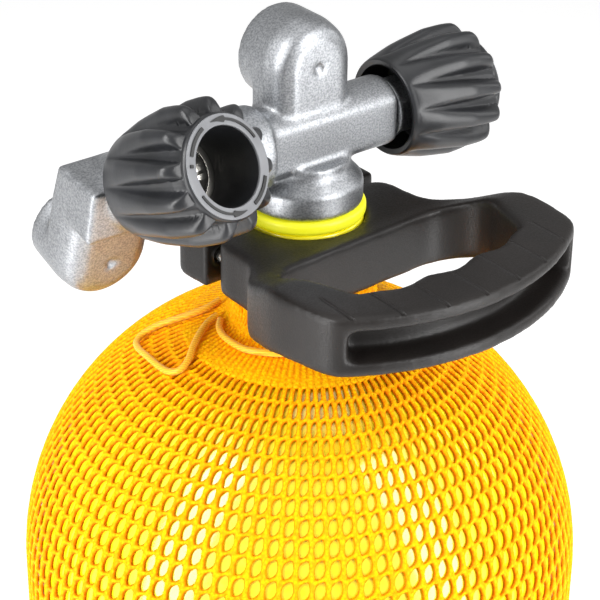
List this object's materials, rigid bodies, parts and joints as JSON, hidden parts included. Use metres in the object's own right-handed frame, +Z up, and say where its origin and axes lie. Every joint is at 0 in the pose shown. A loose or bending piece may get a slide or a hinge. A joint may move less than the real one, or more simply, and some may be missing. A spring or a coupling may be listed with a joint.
{
  "type": "scuba tank",
  "caption": "Short steel scuba tank in a knitted net and a flat-bottomed boot, with a carrying handle on its neck and a cross-arm valve with turning handwheels.",
  "frame": {"origin": "centre of the boot's flat bottom, where the tank stands", "axes": "+Z up along the tank's axis, +X along the valve's barrel towards the main handwheel, -Y towards the carrying grip"},
  "size_m": [0.2196, 0.2196, 0.5968],
  "materials": {
    "steel_paint": "lemon yellow gloss enamel on steel",
    "net": "knitted polyethylene, orange-yellow",
    "boot": "matt black rubber",
    "handle": "fine-textured black nylon",
    "casting": "satin blasted chrome plate on brass",
    "rubber": "dark grey moulded rubber",
    "ring": "fluorescent yellow-green",
    "seal": "black nitrile",
    "bright": "bright nickel plate",
    "nylon": "natural white nylon"
  },
  "bodies": {
    "tank": {"boot": "boot", "clamp_nut_left": "bright", "clamp_nut_right": "bright", "clamp_screw_left": "bright", "clamp_screw_right": "bright", "connector_lock_nut": "casting", "connector_seal": "seal", "cross_connector": "casting", "cylinder": "steel_paint", "dip_tube": "bright", "drawstring": "net", "drawstring_tail": "net", "handle_clamp": "handle", "handle_grip": "handle", "main_bonnet_nut": "casting", "main_spindle_seal": "seal", "neck_ring": "ring", "neck_seal": "seal", "net_cover": "net", "second_bonnet_nut": "casting", "second_spindle_seal": "seal", "second_valve_body": "casting", "valve_body": "casting"},
    "main_handwheel_group": {"main_handwheel": "rubber", "main_handwheel_nut": "bright", "main_handwheel_washer": "bright", "main_spindle": "bright"},
    "main_seat": {"main_seat_plunger": "nylon"},
    "second_handwheel_group": {"second_handwheel": "rubber", "second_handwheel_nut": "bright", "second_handwheel_washer": "bright", "second_spindle": "bright"},
    "second_seat": {"second_seat_plunger": "nylon"}
  },
  "joints": [
    {"name": "main_handwheel_turn", "type": "hinge", "parent": "tank", "child": "main_handwheel_group", "pos_m": [0, 0, 0.5548], "axis": [1, 0, 0], "range_deg": [0, 990]},
    {"name": "main_seat_slide", "type": "slide", "parent": "main_handwheel_group", "child": "main_seat", "axis": [1, 0, 0], "range_m": [0, 0.0035]},
    {"name": "second_handwheel_turn", "type": "hinge", "parent": "tank", "child": "second_handwheel_group", "pos_m": [-0.0793, 0, 0.5548], "axis": [0.1633, -0.879, 0.4479], "range_deg": [0, 990]},
    {"name": "second_seat_slide", "type": "slide", "parent": "second_handwheel_group", "child": "second_seat", "axis": [0.1633, -0.879, 0.4479], "range_m": [0, 0.0035]}
  ],
  "couplings": [
    {"joint": "main_seat_slide", "follows": "main_handwheel_turn", "m_per_rad": 0.00019894},
    {"joint": "second_seat_slide", "follows": "second_handwheel_turn", "m_per_rad": 0.00019894}
  ]
}
